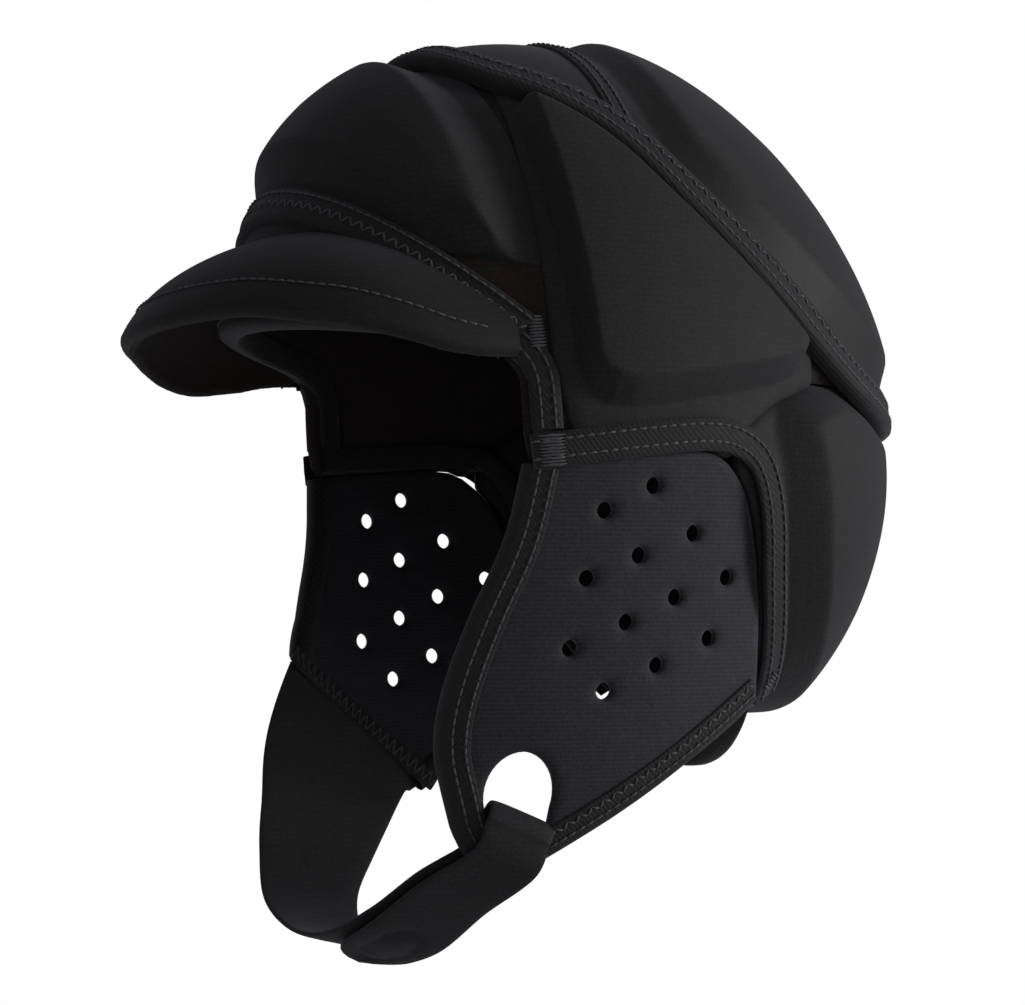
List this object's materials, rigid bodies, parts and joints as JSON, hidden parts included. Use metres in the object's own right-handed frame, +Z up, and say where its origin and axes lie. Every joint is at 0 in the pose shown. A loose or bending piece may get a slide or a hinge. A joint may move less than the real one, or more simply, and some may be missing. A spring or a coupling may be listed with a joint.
{
  "type": "water helmet",
  "caption": "Soft padded water helmet with moulded foam panels, short flexible brim, perforated ear flaps and a fold-back chin strap.",
  "frame": {"origin": "on the mid plane, level with the centre of the ear flaps, where the wearer's head sits", "axes": "+Z up towards the crown, -Y the way the wearer faces, +X the wearer's left"},
  "size_m": [0.1848, 0.2416, 0.2768],
  "materials": {
    "panel_black": "knitted nylon over neoprene, matt",
    "crown_smooth": "smooth-skin laminated knit, low sheen",
    "brim_cloth": "knitted nylon, matt",
    "flap_mesh": "perforated neoprene with a bluish-black knit face",
    "lining": "brushed black lining",
    "foam": "closed-cell foam",
    "brim_board": "flexible foam board",
    "tape": "stretch binding tape",
    "strap_cloth": "laminated neoprene strap",
    "hook": "hook patch",
    "loop": "loop pile",
    "thread": "polyester thread"
  },
  "bodies": {
    "helmet": {"brim_bartacks": "thread", "brim_core": "brim_board", "brim_seam_tape": "tape", "brim_top_cover": "brim_cloth", "brim_under_cover": "lining", "brow_band": "panel_black", "brow_binding": "tape", "chin_strap": "strap_cloth", "crown_cross_tape": "tape", "crown_edge_tape": "tape", "crown_front_cover": "crown_smooth", "crown_front_foam": "foam", "crown_rear_cover": "crown_smooth", "crown_rear_foam": "foam", "ear_bartacks": "thread", "front_panel_cover": "panel_black", "front_panel_foam": "foam", "inner_liner": "lining", "left_ear_flap": "flap_mesh", "left_ear_tape": "tape", "left_face_binding": "tape", "left_flap_hem": "tape", "left_inner_ear_tape": "tape", "left_rear_panel_cover": "panel_black", "left_rear_panel_foam": "foam", "left_side_panel_cover": "panel_black", "left_side_panel_foam": "foam", "loop_patch": "loop", "nape_binding": "tape", "nape_liner": "lining", "right_ear_flap": "flap_mesh", "right_ear_tape": "tape", "right_face_binding": "tape", "right_flap_hem": "tape", "right_inner_ear_tape": "tape", "right_rear_panel_cover": "panel_black", "right_rear_panel_foam": "foam", "right_side_panel_cover": "panel_black", "right_side_panel_foam": "foam", "strap_fold": "strap_cloth", "strap_seam_tape": "tape"},
    "strap_end": {"strap_tab": "strap_cloth", "hook_patch": "hook"}
  },
  "joints": [
    {"name": "strap_tab_peel", "type": "hinge", "parent": "helmet", "child": "strap_end", "pos_m": [0.05949, -0.03141, -0.06763], "axis": [-0.2424, -0.8839, 0.4], "range_deg": [0, 100]}
  ]
}
